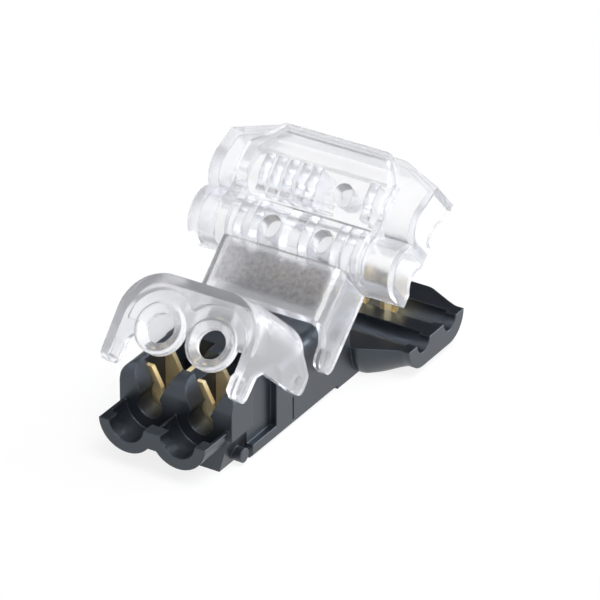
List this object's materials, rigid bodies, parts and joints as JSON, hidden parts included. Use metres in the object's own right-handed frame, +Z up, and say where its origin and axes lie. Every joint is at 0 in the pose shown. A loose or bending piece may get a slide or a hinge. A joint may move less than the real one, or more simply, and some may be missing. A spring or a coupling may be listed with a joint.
{
  "type": "t-tap wire connector",
  "caption": "Clip-on T-tap splice with a black T-shaped base, clear hinged covers for the run and branch wires, and forked sheet metal contacts.",
  "frame": {"origin": "on the flat underside, on the middle plane, midway between the two run wire channels", "axes": "+Z up from the underside, +Y along the stem towards the crossbar, X along the crossbar"},
  "size_m": [0.0206, 0.0348, 0.0186],
  "materials": {
    "housing_black": "satin moulded",
    "cover_clear": "clear moulded",
    "contact_gold": "bright plated"
  },
  "bodies": {
    "base": {"base_housing": "housing_black", "contact_left": "contact_gold", "contact_right": "contact_gold"},
    "crossbar_cover": {"crossbar_cover": "cover_clear"},
    "branch_cover": {"branch_cover": "cover_clear"}
  },
  "joints": [
    {"name": "crossbar_cover_hinge", "type": "hinge", "parent": "base", "child": "crossbar_cover", "pos_m": [0, -0.0111, 0.0046], "axis": [1, 0, 0], "range_deg": [-42, 10]},
    {"name": "branch_cover_hinge", "type": "hinge", "parent": "base", "child": "branch_cover", "pos_m": [0, -0.016, 0.0046], "axis": [-1, 0, 0], "range_deg": [-42.5, 5]}
  ]
}
